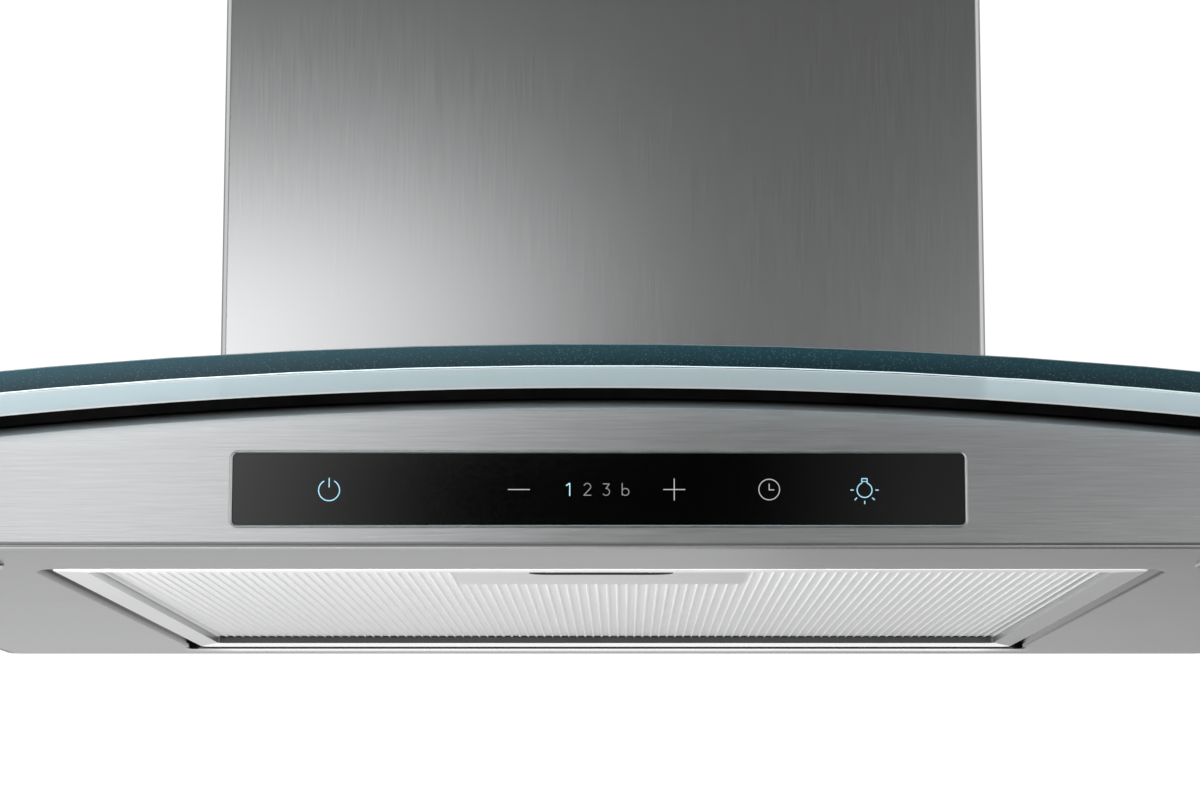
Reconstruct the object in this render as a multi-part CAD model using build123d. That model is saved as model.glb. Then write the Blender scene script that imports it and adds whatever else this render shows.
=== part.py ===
"""Curved-glass chimney range hood, 60 cm class, as separate named pieces.

Working frame: X to the viewer's right, Y from the front towards the wall (wall
plane at Y = 0), Z up, underside of the steel body at Z = 0.  Every piece is
moved down by Z_ORIGIN at the end, so the exported origin is the centre of the
wall-screw pattern on the wall plane.  Millimetres.
"""
import math
import os

from build123d import *

os.makedirs("parts", exist_ok=True)

# ------------------------------------------------------------ driving dimensions
Z_ORIGIN = 190.0          # height of the wall-screw pattern centre above the underside

W_BODY = 490.0            # steel body width
D_BODY = 450.0            # steel body depth, wall to fascia
T = 1.0                   # body sheet thickness

W_GLASS = 598.0           # canopy width
T_GLASS = 6.0             # canopy thickness
GLASS_FRONT = 36.7        # canopy overhang in front of the fascia
GLASS_BACK = 4.0          # gap between canopy and wall
R_ARCH = 1704.0           # radius of the canopy's lower surface
Z_GLASS = 44.2            # lower surface of the canopy at mid width
R_GLASS_CORNER = 28.0     # front corners of the canopy in plan
GASKET = 3.0              # seal thickness under the canopy

FASCIA_ROLL = 3.0         # top roll of the fascia
FASCIA_FOOT = 1.6         # bottom roll of the fascia

CTRL_HALF = 100.7         # control bezel half width
CTRL_Z0, CTRL_Z1 = 5.35, 26.65

OPEN_HALF = 163.0         # filter opening half width
OPEN_Y0, OPEN_Y1 = -381.4, -37.8
OPEN_ROLL = 4.0           # rolled lower edge of the opening
COLLAR_H = 10.0

FIL_HALF = 161.5          # filter half width
FIL_Y0, FIL_Y1 = -379.9, -39.3
FIL_Z0, FIL_Z1 = 0.2, 11.0
FIL_T = 0.8
FIL_WIN_HALF = 152.0      # mesh window half width
FIL_WIN_Y0, FIL_WIN_Y1 = -371.9, -61.3
MESH_PITCH = 3.2
MESH_Z0, MESH_AMP, MESH_T = 2.6, 1.0, 0.35
PIVOT_Y, PIVOT_Z, PIVOT_R = -47.0, 4.0, 2.0
PIVOT_GAP = 0.06

LAMP_X, LAMP_Y = 199.0, -402.5
LAMP_R = 28.0

CH_HALF, CH_FRONT = 129.6, -248.0      # lower chimney
CH_T = 1.0
CH_TOP = 530.0
UP_HALF, UP_FRONT, UP_BACK = 126.6, -246.0, -1.4   # upper chimney
UP_T = 0.9
UP_Z0, UP_Z1 = 150.0, 630.0

TOWER_HALF, TOWER_FRONT, TOWER_TOP = 100.0, -225.0, 331.5
TOWER_T = 1.5
FLANGE_Z = 53.0
WALL_HOLE_X, WALL_HOLE_Z, WALL_HOLE_R = 85.0, 90.0, 4.0

FAN_Y, FAN_Z = -118.0, 165.0
SCROLL_R, SCROLL_HALF = 92.0, 72.0
DUCT_Y0, DUCT_Y1 = -210.0, -66.0
SCROLL_TOP = 327.0
COLLAR_Y = -138.0
COLLAR_R, COLLAR_TOP = 74.5, 381.5
FLAP_Z, FLAP_X, FLAP_PIN_R = 345.0, 4.0, 1.5

ZC = Z_GLASS - R_ARCH     # height of the arch axis
R_TOP = R_ARCH - GASKET   # top of the steel under the seal


# ------------------------------------------------------------------- helpers
def box(x0, x1, y0, y1, z0, z1):
    return Pos((x0 + x1) / 2, (y0 + y1) / 2, (z0 + z1) / 2) * Box(
        abs(x1 - x0), abs(y1 - y0), abs(z1 - z0))


def cyl_x(r, x0, x1, y, z):
    return Pos((x0 + x1) / 2, y, z) * Rot(0, 90, 0) * Cylinder(r, abs(x1 - x0))


def cyl_y(r, y0, y1, x, z):
    return Pos(x, (y0 + y1) / 2, z) * Rot(90, 0, 0) * Cylinder(r, abs(y1 - y0))


def cyl_z(r, z0, z1, x, y):
    return Pos(x, y, (z0 + z1) / 2) * Cylinder(r, abs(z1 - z0))


def rbox(x0, x1, y0, y1, z0, z1, r):
    """Box with rounded vertical edges."""
    sk = Pos((x0 + x1) / 2, (y0 + y1) / 2, z0) * RectangleRounded(x1 - x0, y1 - y0, r)
    return extrude(sk, amount=z1 - z0, dir=(0, 0, 1))


def rbox_y(x0, x1, y0, y1, z0, z1, r):
    """Box with rounded edges along Y."""
    sk = Pos((x0 + x1) / 2, y0, (z0 + z1) / 2) * Rot(90, 0, 0) * RectangleRounded(x1 - x0, z1 - z0, r)
    return extrude(sk, amount=y1 - y0, dir=(0, 1, 0))


def az(x, r):
    return ZC + math.sqrt(r * r - x * x)


def arch_band(r0, r1, xa, y0, y1):
    """Sheet bent to the arch between radii r0 and r1."""
    w = Wire([
        Edge.make_three_point_arc((-xa, y0, az(xa, r0)), (0, y0, ZC + r0), (xa, y0, az(xa, r0))),
        Edge.make_line((xa, y0, az(xa, r0)), (xa, y0, az(xa, r1))),
        Edge.make_three_point_arc((xa, y0, az(xa, r1)), (0, y0, ZC + r1), (-xa, y0, az(xa, r1))),
        Edge.make_line((-xa, y0, az(xa, r1)), (-xa, y0, az(xa, r0))),
    ])
    return extrude(Face(w), amount=y1 - y0, dir=(0, 1, 0))


def under_arch(r, xa, y0, y1, z0):
    """Everything between height z0 and the arch of radius r."""
    w = Wire([
        Edge.make_line((-xa, y0, z0), (xa, y0, z0)),
        Edge.make_line((xa, y0, z0), (xa, y0, az(xa, r))),
        Edge.make_three_point_arc((xa, y0, az(xa, r)), (0, y0, ZC + r), (-xa, y0, az(xa, r))),
        Edge.make_line((-xa, y0, az(xa, r)), (-xa, y0, z0)),
    ])
    return extrude(Face(w), amount=y1 - y0, dir=(0, 1, 0))


def edges_at(shape, test):
    return [e for e in shape.edges() if test(e.center())]


def put(name, *shapes):
    sol = []
    for s in shapes:
        sol += [Pos(0, 0, -Z_ORIGIN) * k for k in s.solids()]
    out = sol[0] if len(sol) == 1 else Compound(children=sol)
    out.label = name
    export_step(out, f"parts/{name}.step")
    b = out.bounding_box()
    print(f"{name:24s} solids {len(sol):3d}  vol {sum(k.volume for k in sol):11.1f}"
          f"  x {b.min.X:8.2f} {b.max.X:8.2f}  y {b.min.Y:8.2f} {b.max.Y:8.2f}"
          f"  z {b.min.Z + Z_ORIGIN:8.2f} {b.max.Z + Z_ORIGIN:8.2f}", flush=True)


# ------------------------------------------------------------- glass and its seal
CLAMPS = [(sx * 113.0, y) for sx in (-1, 1) for y in (-195.0, -45.0)]

glass = arch_band(R_ARCH, R_ARCH + T_GLASS, W_GLASS / 2, -(D_BODY + GLASS_FRONT), -GLASS_BACK)
glass = fillet(edges_at(glass, lambda c: abs(abs(c.X) - W_GLASS / 2) < 2 and c.Y < -400), R_GLASS_CORNER)
glass = fillet(edges_at(glass, lambda c: abs(abs(c.X) - W_GLASS / 2) < 2 and c.Y > -10 and c.Y < -GLASS_BACK + 0.1
                        and abs(c.Y + GLASS_BACK) < 0.5), 6.0)
glass -= rbox(-101.5, 101.5, -228.0, 60.0, 0, 90, 12.0)
for x, y in CLAMPS:
    glass -= cyl_z(5.0, 20, 80, x, y)
try:
    rim = [e for e in glass.edges() if e.length > 20 and (
        abs(e.center().Y + D_BODY + GLASS_FRONT) < 0.6 or abs(abs(e.center().X) - W_GLASS / 2) < 0.6)]
    glass = chamfer(rim, 0.25)
except Exception as err:
    print("glass rim left square", err)
put("glass_canopy", glass)

seal_plan = rbox(-(W_BODY / 2 - 0.6), W_BODY / 2 - 0.6, -(D_BODY - 0.8), -0.8, 0, 90, 4.6)
seal_plan -= box(-(W_BODY / 2 - 12), W_BODY / 2 - 12, -(D_BODY - 11), -12, -5, 95)
gasket = arch_band(R_TOP + 0.03, R_ARCH - 0.03, W_BODY / 2 + 8, -(D_BODY + 8), 8) & seal_plan
gpads = []
for x, y in CLAMPS:
    band = arch_band(R_TOP + 0.03, R_ARCH - 0.03, 200, y - 12, y + 12)
    gpads.append(band & (cyl_z(11, 0, 90, x, y) - cyl_z(3.4, 0, 90, x, y)))
put("glass_gasket", gasket, *gpads)

# ------------------------------------------------------------------ steel body
yf = -D_BODY
half = W_BODY / 2
fas_face = Wire([
    Edge.make_line((-half, yf, FASCIA_FOOT), (half, yf, FASCIA_FOOT)),
    Edge.make_line((half, yf, FASCIA_FOOT), (half, yf, az(half, R_TOP - FASCIA_ROLL))),
    Edge.make_three_point_arc((half, yf, az(half, R_TOP - FASCIA_ROLL)), (0, yf, ZC + R_TOP - FASCIA_ROLL),
                              (-half, yf, az(half, R_TOP - FASCIA_ROLL))),
    Edge.make_line((-half, yf, az(half, R_TOP - FASCIA_ROLL)), (-half, yf, FASCIA_FOOT)),
])
fascia = extrude(Face(fas_face), amount=T, dir=(0, 1, 0))
# rolled top edge and its return under the seal, turned about the arch axis
ro, ri = FASCIA_ROLL, FASCIA_ROLL - T
yc, rc = yf + ro, R_TOP - FASCIA_ROLL
q = math.sqrt(0.5)
prof = Wire([
    Edge.make_three_point_arc((0, yc - ro, ZC + rc), (0, yc - ro * q, ZC + rc + ro * q), (0, yc, ZC + rc + ro)),
    Edge.make_line((0, yc, ZC + rc + ro), (0, yf + 11.0, ZC + rc + ro)),
    Edge.make_line((0, yf + 11.0, ZC + rc + ro), (0, yf + 11.0, ZC + rc + ri)),
    Edge.make_line((0, yf + 11.0, ZC + rc + ri), (0, yc, ZC + rc + ri)),
    Edge.make_three_point_arc((0, yc, ZC + rc + ri), (0, yc - ri * q, ZC + rc + ri * q), (0, yc - ri, ZC + rc)),
    Edge.make_line((0, yc - ri, ZC + rc), (0, yc - ro, ZC + rc)),
])
ang = 9.5
roll = revolve(Rot(0, 0, 0) * Face(prof), axis=Axis((0, 0, ZC), (0, 1, 0)), revolution_arc=ang)
roll2 = revolve(Face(prof), axis=Axis((0, 0, ZC), (0, -1, 0)), revolution_arc=ang)
roll = (roll + roll2) & box(-half, half, yf - 5, yf + 20, -50, 90)
foot_o = cyl_x(FASCIA_FOOT, -half, half, yf + FASCIA_FOOT, FASCIA_FOOT)
foot_i = cyl_x(FASCIA_FOOT - T, -half - 1, half + 1, yf + FASCIA_FOOT, FASCIA_FOOT)
foot = (foot_o - foot_i) & box(-half, half, yf - 1, yf + FASCIA_FOOT, -1, FASCIA_FOOT)
foot += box(-half, half, yf + FASCIA_FOOT, yf + 2.4, 0, T)
fascia = fascia + roll + foot
fascia -= box(half - 1.1, half + 5, yf + T + 0.1, yf + 40, -5, 90)
fascia -= box(-half - 5, -half + 1.1, yf + T + 0.1, yf + 40, -5, 90)
fascia -= rbox_y(-CTRL_HALF - 0.04, CTRL_HALF + 0.04, yf - 2, yf + 4, CTRL_Z0 - 0.04, CTRL_Z1 + 0.04, 2.44)
put("front_fascia", fascia)

shell = rbox(-half, half, -(D_BODY + 60), 0, 0, 60, 5.0) - rbox(-half + T, half - T, -(D_BODY + 80), -T, -1, 61, 4.0)
shell -= box(-half - 5, half + 5, -(D_BODY + 100), yf + T + 0.1, -5, 70)
shell &= under_arch(R_TOP, half + 1, -(D_BODY + 2), 2, -2)
put("body_shell", shell)

pan = rbox(-half + 1.1, half - 1.1, yf + 3.0, -1.1, 0, T, 3.9)
pan += rbox(-OPEN_HALF - T, OPEN_HALF + T, OPEN_Y0 - T, OPEN_Y1 + T, 0, COLLAR_H, 7.0)
pan -= rbox(-OPEN_HALF, OPEN_HALF, OPEN_Y0, OPEN_Y1, -1, COLLAR_H + 1, 6.0)


def on_loop(c, hx, y0, y1, z, tol=3.0):
    near_x = abs(abs(c.X) - hx) < tol and y0 - 1 < c.Y < y1 + 1
    near_y = (abs(c.Y - y0) < tol or abs(c.Y - y1) < tol) and abs(c.X) < hx + 1
    return abs(c.Z - z) < 0.05 and (near_x or near_y)


top_loop = [e for e in pan.edges() if on_loop(e.center(), OPEN_HALF + T, OPEN_Y0 - T, OPEN_Y1 + T, T)]
pan = fillet(top_loop, OPEN_ROLL - T)
low_loop = [e for e in pan.edges() if on_loop(e.center(), OPEN_HALF, OPEN_Y0, OPEN_Y1, 0.0)]
pan = fillet(low_loop, OPEN_ROLL)
pan = fillet([e for e in pan.edges() if abs(e.center().Y - (yf + 3.0)) < 0.05 and abs(e.center().Z) < 0.05], 0.8)
for sx in (-1, 1):
    pan -= cyl_z(26.0, -5, 5, sx * LAMP_X, LAMP_Y)
    pan -= box(sx * 161.0, sx * 165.2, PIVOT_Y - 3.4, PIVOT_Y + 3.4, -3, 8.2)
PAN_SCREWS = [(sx * 225.0, y) for sx in (-1, 1) for y in (-340.0, -190.0)]
for x, y in PAN_SCREWS:
    pan -= cyl_z(1.9, -1, 2, x, y)
put("bottom_panel", pan)

# brackets inside the body that take the underside screws
brk = []
for x, y in PAN_SCREWS:
    sx = 1 if x > 0 else -1
    b = box(sx * 216.0, sx * (half - T - 0.05), y - 9, y + 9, T + 0.05, T + 1.55)
    b += box(sx * (half - T - 1.55), sx * (half - T - 0.05), y - 9, y + 9, T + 0.05, 16.0)
    brk.append(b - cyl_z(1.75, 0, 5, x, y))
put("panel_brackets", *brk)
body_screws = [cyl_z(1.7, -0.2, 7.0, x, y) + cyl_z(3.4, -1.4, -0.02, x, y) for x, y in PAN_SCREWS]

top = arch_band(R_TOP - T, R_TOP, half + 8, yf + 11.2, 8)
top &= rbox(-half + 1.1, half - 1.1, yf - 60, -1.1, 0, 90, 4.2)
top -= box(-98.0, 98.0, -222.0, -14.0, 0, 90)
for x, y in CLAMPS:
    top -= cyl_z(3.4, 0, 90, x, y)
put("top_panel", top)

# --------------------------------------------------------------- control panel
BEZEL_W, BEZEL_PROUD = 0.9, 0.25      # rolled frame around the control glass
bez = rbox_y(-CTRL_HALF, CTRL_HALF, yf - BEZEL_PROUD, yf + 3.0, CTRL_Z0, CTRL_Z1, 2.4)
bez -= rbox_y(-CTRL_HALF + BEZEL_W, CTRL_HALF - BEZEL_W, yf - 2, yf + 5, CTRL_Z0 + BEZEL_W, CTRL_Z1 - BEZEL_W, 1.2)


def bezel_front(c, inset):
    side = abs(abs(c.X) - (CTRL_HALF - inset)) < 0.15
    flat = min(abs(c.Z - CTRL_Z0 - inset), abs(c.Z - CTRL_Z1 + inset)) < 0.15
    return abs(c.Y - (yf - BEZEL_PROUD)) < 0.02 and (side or flat)


bez = fillet(edges_at(bez, lambda c: bezel_front(c, BEZEL_W)), 0.55)
bez = fillet(edges_at(bez, lambda c: bezel_front(c, 0.0)), 0.2)
put("control_bezel", bez)
G_IN = BEZEL_W + 0.07
put("control_glass", rbox_y(-CTRL_HALF + G_IN, CTRL_HALF - G_IN, yf + 0.4, yf + 2.4,
                            CTRL_Z0 + G_IN, CTRL_Z1 - G_IN, 1.1))
put("touch_board", box(-97.0, 97.0, yf + 2.5, yf + 4.1, CTRL_Z0 + 3, CTRL_Z1 - 3)
    + box(-70, -55, yf + 4.05, yf + 6.35, 12, 20) + box(20, 60, yf + 4.05, yf + 5.75, 10, 22))
hs = box(-106, 106, yf + 1.1, yf + 14.0, 3.6, 29.0)
hs -= box(-104.4, 104.4, yf, yf + 12.4, 5.2, 27.4)
hs += box(-104.4, -98, yf + 3.6, yf + 12.4, 14, 16) + box(98, 104.4, yf + 3.6, yf + 12.4, 14, 16)
put("control_housing", hs)

# ----------------------------------------------------------------------- lamps
for tag, sx in (("left", -1), ("right", 1)):
    x = sx * LAMP_X
    rim = cyl_z(LAMP_R, -0.7, -0.02, x, LAMP_Y)
    rim = chamfer([e for e in rim.edges() if e.center().Z < -0.69], 0.45)
    rim += cyl_z(25.6, -0.1, 9.0, x, LAMP_Y)
    rim -= cyl_z(22.6, -2, 10, x, LAMP_Y)
    rim += cyl_z(23.5, 1.2, 1.9, x, LAMP_Y) - cyl_z(21.4, 0, 3, x, LAMP_Y)
    put(f"lamp_bezel_{tag}", rim)
    put(f"lamp_lens_{tag}", cyl_z(22.5, 1.95, 3.6, x, LAMP_Y))
    can = cyl_z(22.5, 3.65, 17.0, x, LAMP_Y) - cyl_z(21.3, 3.0, 15.6, x, LAMP_Y)
    for k in range(-3, 4):
        can += box(x + k * 5.5 - 0.8, x + k * 5.5 + 0.8, LAMP_Y - 14, LAMP_Y + 14, 16.9, 22.0)
    put(f"lamp_housing_{tag}", can)
    put(f"lamp_board_{tag}", cyl_z(20.8, 13.9, 15.5, x, LAMP_Y)
        + box(x - 4, x + 4, LAMP_Y - 4, LAMP_Y + 4, 12.6, 14.0))

# --------------------------------------------------------------- grease filter
frame = rbox(-FIL_HALF, FIL_HALF, FIL_Y0, FIL_Y1, FIL_Z0, FIL_Z1, 4.5)
frame = fillet([e for e in frame.edges() if abs(e.center().Z - FIL_Z0) < 0.02], 0.6)
frame -= rbox(-FIL_HALF + FIL_T, FIL_HALF - FIL_T, FIL_Y0 + FIL_T, FIL_Y1 - FIL_T, FIL_Z0 + FIL_T, FIL_Z1 - FIL_T, 3.7)
frame += rbox(-FIL_WIN_HALF - FIL_T, FIL_WIN_HALF + FIL_T, FIL_WIN_Y0 - FIL_T, FIL_WIN_Y1 + FIL_T, FIL_Z0 + 0.4, 2.5, 2.8)
frame -= rbox(-FIL_WIN_HALF, FIL_WIN_HALF, FIL_WIN_Y0, FIL_WIN_Y1, FIL_Z0 - 1, 2.6, 2.0)
frame -= rbox(-FIL_WIN_HALF + 3, FIL_WIN_HALF - 3, FIL_WIN_Y0 + 3, FIL_WIN_Y1 - 3, FIL_Z1 - 2, FIL_Z1 + 1, 2.0)
frame -= box(-10.6, 10.6, FIL_Y0 - 1, FIL_Y0 + 2, 3.8, 6.2)
for sx in (-1, 1):
    frame -= cyl_x(PIVOT_R + 0.03, sx * (FIL_HALF - 2), sx * (FIL_HALF + 2), PIVOT_Y, PIVOT_Z)
put("filter_frame", frame)


def ribbed(z0, half_w, y0, y1):
    """Ribbed sheet: trapezoid ribs running front to back."""
    n = int(half_w / (MESH_PITCH / 2))
    step = MESH_PITCH / 4
    low, high = [], []
    k = 0
    x = -n * MESH_PITCH / 2
    while x <= n * MESH_PITCH / 2 + 1e-6:
        h = (0.0, MESH_AMP, MESH_AMP, 0.0)[k % 4]
        low.append((x, z0 + h))
        high.append((x, z0 + h + MESH_T))
        x += step
        k += 1
    pts = low + high[::-1]
    w = Wire.make_polygon([(px, y0, pz) for px, pz in pts], close=True)
    return extrude(Face(w), amount=y1 - y0, dir=(0, 1, 0))


HANDLE_HALF, HANDLE_Y0, HANDLE_Y1 = 44.4, -378.6, -304.0
mesh = ribbed(MESH_Z0, 157.0, -377.0, -57.0)
mesh -= box(-HANDLE_HALF - 0.15, HANDLE_HALF + 0.15, -390, HANDLE_Y1 + 0.15, 0, 9)
put("filter_mesh", mesh)
put("filter_back_mesh", ribbed(8.6, 157.0, -377.0, -57.0))
core = []
for z in (4.3, 5.6, 6.9):
    s = box(-157, 157, -377, -57, z, z + 0.5)
    core.append(s - box(-46, 46, -380, -302, z - 1, z + 2))
put("filter_core", *core)

plate = box(-HANDLE_HALF, HANDLE_HALF, HANDLE_Y0, HANDLE_Y1, 2.55, 3.15)
plate -= rbox(-22.0, 22.0, -356.0, -337.0, 2, 4, 6.0)
put("handle_plate", plate)
hous = box(-32, 32, -378.6, -321.0, 3.2, 8.2) - box(-30, 30, -376.6, -322.4, 3.0, 7.0)
hous -= box(-10.6, 10.6, -380, -375, 3.8, 6.2)
put("handle_housing", hous)
latch = box(-28, 28, -374.0, -334.0, 4.2, 5.8) + box(-10, 10, -381.0, -373.0, 4.2, 5.8)
latch += box(-18, 18, -346.0, -344.4, 2.7, 4.3)
for sx in (-1, 1):
    latch += cyl_y(0.7, -334.2, -330.0, sx * 16.0, 5.0)
put("filter_latch", latch)


def coil(r, wire, length, turns, x, y0, z):
    path = Helix(pitch=length / turns, height=length, radius=r, center=(x, y0, z), direction=(0, 1, 0))
    sec = Plane(origin=path @ 0, z_dir=path % 0) * Circle(wire)
    return sweep(sec, path=path)


SPRING_Y0, SPRING_L = -333.7, 11.0
put("latch_springs", *[coil(1.35, 0.22, SPRING_L, 6, sx * 16.0, SPRING_Y0, 5.0) for sx in (-1, 1)])
put("filter_pivots", *[cyl_x(PIVOT_R, sx * 159.6, sx * 164.7, PIVOT_Y, PIVOT_Z)
                       + cyl_x(2.8, sx * 159.0, sx * (FIL_HALF - FIL_T - 0.05), PIVOT_Y, PIVOT_Z)
                       for sx in (-1, 1)])
seats = []
for sx in (-1, 1):
    s = box(sx * 161.9, sx * 165.0, PIVOT_Y - 3.2, PIVOT_Y + 3.2, -1.0, 8.0)
    s = fillet([e for e in s.edges() if e.center().Z < -0.95], 0.5)
    seats.append(s - cyl_x(PIVOT_R + PIVOT_GAP, sx * 160, sx * 167, PIVOT_Y, PIVOT_Z))
put("pivot_seats", *seats)

# ------------------------------------------------------------------ blower tower
th, tt = TOWER_HALF, TOWER_T
GROM = [(sx * 79.0, y) for sx in (-1, 1) for y in (-215.0, -60.0)]
COL_SCR = [(sx * 56.9, COLLAR_Y + sy * 56.9) for sx in (-1, 1) for sy in (-1, 1)]
GLAND = (70.0, -25.0)
Y_RAIL = -44.0                         # joint between the top plate and the rear rail
SIDE_TOP = TOWER_TOP - tt - 0.03
back = box(-th, th, -tt, 0, FLANGE_Z, TOWER_TOP)
for sx in (-1, 1):
    for zz in (-1, 1):
        back -= cyl_y(WALL_HOLE_R, -4, 2, sx * WALL_HOLE_X, Z_ORIGIN + zz * WALL_HOLE_Z)
sides, feet = [], []
for sx in (-1, 1):
    side = box(sx * (th - tt), sx * th, TOWER_FRONT, -tt - 0.03, FLANGE_Z, SIDE_TOP)
    side += box(sx * (th - 12), sx * th, TOWER_FRONT, TOWER_FRONT + tt, FLANGE_Z, SIDE_TOP)
    side -= box(sx * (th - 3), sx * (th + 3), -190, -45, 95, 235)
    sides.append(side)
    foot = box(sx * (th + 0.03), sx * 126.0, TOWER_FRONT, -12.0, FLANGE_Z, FLANGE_Z + tt)
    foot += box(sx * 124.5, sx * 126.0, TOWER_FRONT, -12.0, FLANGE_Z, 74.0)
    foot += box(sx * (th + 0.03), sx * (th + tt), TOWER_FRONT, -12.0, FLANGE_Z, 74.0)
    foot -= cyl_x(2.1, sx * 122, sx * 128, -120, 64)
    for x, y in CLAMPS:
        foot -= cyl_z(3.4, 40, 60, x, y)
    feet.append(foot)
put("blower_chassis", back, *sides)
put("chassis_feet", *feet)
roof = box(-th, th, TOWER_FRONT, Y_RAIL - 0.02, TOWER_TOP - tt, TOWER_TOP)
roof -= cyl_z(73.0, 320, 340, 0, COLLAR_Y)
for x, y in GROM:
    roof -= cyl_z(2.2, 320, 340, x, y)
for x, y in COL_SCR:
    roof -= cyl_z(1.8, 320, 340, x, y)
rail = box(-th, th, Y_RAIL + 0.02, -tt - 0.03, TOWER_TOP - tt, TOWER_TOP) - cyl_z(6.0, 320, 340, *GLAND)
put("chassis_top", roof, rail)

pads = []
for x, y in CLAMPS:
    p = box(x - 11.5, x + 11.5, y - 18, y + 18, 40, FLANGE_Z - 0.03)
    p -= under_arch(R_ARCH + T_GLASS + 0.03, 200, y - 30, y + 30, 0)
    pads.append(p - cyl_z(3.4, 30, 60, x, y))
put("glass_pads", *pads)
bolts = []
for x, y in CLAMPS:
    b = cyl_z(3.0, 30.0, 55.0, x, y) + cyl_z(5.2, FLANGE_Z + tt + 0.02, 58.5, x, y)
    b += Pos(x, y, 31.2) * extrude(RegularPolygon(5.77, 6), amount=4.6)
    bolts.append(b)
put("glass_clamp_bolts", *bolts)

# -------------------------------------------------------------------- blower


def scroll_half(sx):
    o = cyl_x(SCROLL_R, 0.05 * sx, sx * SCROLL_HALF, FAN_Y, FAN_Z)
    o += box(0.05 * sx, sx * SCROLL_HALF, DUCT_Y0, DUCT_Y1, FAN_Z, SCROLL_TOP)
    o += box(0.05 * sx, sx * 85.0, DUCT_Y0 - 12, DUCT_Y1 + 12, SCROLL_TOP - 2, SCROLL_TOP)
    for yy in (FAN_Y - SCROLL_R - 5.5, FAN_Y + SCROLL_R - 1.5):
        o += box(0.05 * sx, sx * 6.0, yy, yy + 7.0, FAN_Z - 10, FAN_Z + 10)
    i = cyl_x(SCROLL_R - 2, -sx, sx * (SCROLL_HALF - 2), FAN_Y, FAN_Z)
    i += box(-sx, sx * (SCROLL_HALF - 2), DUCT_Y0 + 2, DUCT_Y1 - 2, FAN_Z, SCROLL_TOP + 2)
    o = o - i - cyl_x(64.0, sx * 60, sx * 90, FAN_Y, FAN_Z)
    for x, y in GROM:
        if x * sx > 0:
            o -= cyl_z(2.2, 320, 330, x, y)
    return o


MOTOR_SCR = [(FAN_Y + 78 * math.cos(math.radians(a)), FAN_Z + 78 * math.sin(math.radians(a)))
             for a in (-90, 30, 150)]
s_left = scroll_half(-1)
for y, z in MOTOR_SCR:
    s_left -= cyl_x(2.15, -80, -60, y, z)
put("scroll_left", s_left)
s_right = scroll_half(1)
put("scroll_right", s_right)

spider = cyl_x(34.0, -74.0, -72.05, FAN_Y, FAN_Z)
for a in (-90, 30, 150):
    arm = Pos(-73.025, FAN_Y, FAN_Z) * Rot(a, 0, 0) * Pos(0, 55, 0) * Box(1.95, 62, 15)
    spider += arm
for y, z in MOTOR_SCR:
    spider -= cyl_x(2.15, -80, -60, y, z)
put("motor_bracket", spider)
blower_screws = [cyl_x(2.0, -75, -64, y, z) + cyl_x(3.8, -76.6, -74.02, y, z) for y, z in MOTOR_SCR]

mot = cyl_x(44.0, -72.0, -20.0, FAN_Y, FAN_Z)
mot = fillet([e for e in mot.edges() if abs(e.center().X + 20) < 0.1], 6.0)
mot += cyl_x(14.0, -21.0, -14.0, FAN_Y, FAN_Z)
mot -= cyl_x(4.06, -60.0, -10.0, FAN_Y, FAN_Z)
put("motor_body", mot)
put("motor_shaft", cyl_x(4.0, -50.0, 18.0, FAN_Y, FAN_Z))

NB = 40


def blade(k, x0, x1, grow):
    """Curved blade k between x0 and x1; grow widens it for the slots in the disc."""
    def pt(r, a):
        b = math.radians(a) + 2 * math.pi * k / NB
        return (x0, FAN_Y + r * math.cos(b), FAN_Z + r * math.sin(b))
    g, d = grow, math.degrees(grow / 68.0)
    w = Wire([
        Edge.make_three_point_arc(pt(62 - g, -d), pt(69.5, 2.0 - d), pt(75.2 + g, 6.7 - d)),
        Edge.make_line(pt(75.2 + g, 6.7 - d), pt(75.2 + g, 7.8 + d)),
        Edge.make_three_point_arc(pt(75.2 + g, 7.8 + d), pt(69.5, 3.1 + d), pt(62 - g, 1.1 + d)),
        Edge.make_line(pt(62 - g, 1.1 + d), pt(62 - g, -d)),
    ])
    return extrude(Face(w), amount=x1 - x0, dir=(1, 0, 0))


disc = cyl_x(76.0, -0.9, 0.9, FAN_Y, FAN_Z)
disc = disc.cut(*[blade(k, -3.0, 3.0, 0.12) for k in range(NB)])
if isinstance(disc, list):
    disc = disc[0]
disc = disc + (cyl_x(11.0, -8.0, 14.0, FAN_Y, FAN_Z)) - cyl_x(4.02, -20, 30, FAN_Y, FAN_Z)
rings = [cyl_x(76.0, x, x + 2.0, FAN_Y, FAN_Z) - cyl_x(61.0, x - 1, x + 3, FAN_Y, FAN_Z) for x in (-58.0, 56.0)]
put("impeller", disc, *rings)
put("impeller_blades", *[blade(k, -55.97, 55.97, 0.0) for k in range(NB)])

gr = cyl_x(71.0, SCROLL_HALF + 0.05, SCROLL_HALF + 2.05, FAN_Y, FAN_Z) - cyl_x(63.0, 60, 90, FAN_Y, FAN_Z)
for r in (18.0, 33.0, 48.0):
    gr += cyl_x(r + 1.2, SCROLL_HALF + 0.05, SCROLL_HALF + 2.05, FAN_Y, FAN_Z) - cyl_x(r - 1.2, 60, 90, FAN_Y, FAN_Z)
for a in (0, 60, 120):
    gr += Pos(SCROLL_HALF + 1.05, FAN_Y, FAN_Z) * Rot(a, 0, 0) * Box(2.0, 130, 3.0)
put("inlet_grille", gr)

cap = cyl_z(10.0, 250, 305, -86.5, -195)
cap = fillet([e for e in cap.edges() if e.center().Z > 300], 2.0) + cyl_z(3.0, 243, 251, -86.5, -195)
put("motor_capacitor", cap)

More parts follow.
